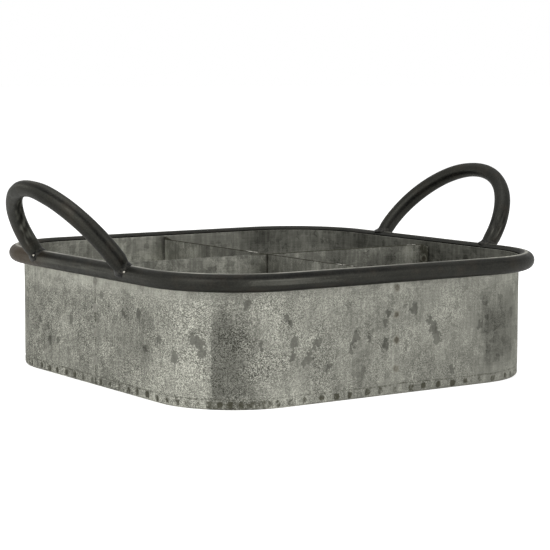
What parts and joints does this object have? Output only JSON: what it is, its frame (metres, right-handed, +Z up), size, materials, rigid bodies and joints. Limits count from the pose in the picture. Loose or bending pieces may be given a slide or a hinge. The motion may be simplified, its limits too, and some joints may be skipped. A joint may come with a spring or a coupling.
{
  "type": "compartment tray",
  "caption": "Square galvanised tray with rounded corners, crossed sheet dividers, a tube rim and a bent tube handle leaning out at each side.",
  "frame": {"origin": "middle of the tray on the plane it stands on", "axes": "+Z up, +X towards the right handle, +Y towards the back"},
  "size_m": [0.3553, 0.2796, 0.1291],
  "materials": {
    "galvanised_sheet": "weathered hot-dip galvanised sheet with a mottled spangle",
    "blackened_iron": "blackened steel tube, worn and slightly rusted",
    "weld_metal": "dark fused weld metal with bright flecks"
  },
  "bodies": {
    "root": {"side_band": "galvanised_sheet", "base_pan": "galvanised_sheet", "divider_crosswise": "galvanised_sheet", "divider_lengthwise": "galvanised_sheet", "rim_tube": "blackened_iron", "handle_left": "blackened_iron", "handle_right": "blackened_iron", "weld_bead_left_front": "weld_metal", "weld_bead_left_back": "weld_metal", "weld_bead_right_front": "weld_metal", "weld_bead_right_back": "weld_metal", "spot_weld_front_1": "weld_metal", "spot_weld_front_2": "weld_metal", "spot_weld_front_3": "weld_metal", "spot_weld_front_4": "weld_metal", "spot_weld_left_1": "weld_metal", "spot_weld_left_2": "weld_metal", "spot_weld_left_3": "weld_metal", "spot_weld_left_4": "weld_metal", "spot_weld_right_1": "weld_metal", "spot_weld_right_2": "weld_metal", "spot_weld_right_3": "weld_metal", "spot_weld_right_4": "weld_metal", "spot_weld_back_1": "weld_metal", "spot_weld_back_2": "weld_metal", "spot_weld_back_3": "weld_metal", "spot_weld_back_4": "weld_metal"}
  },
  "joints": []
}
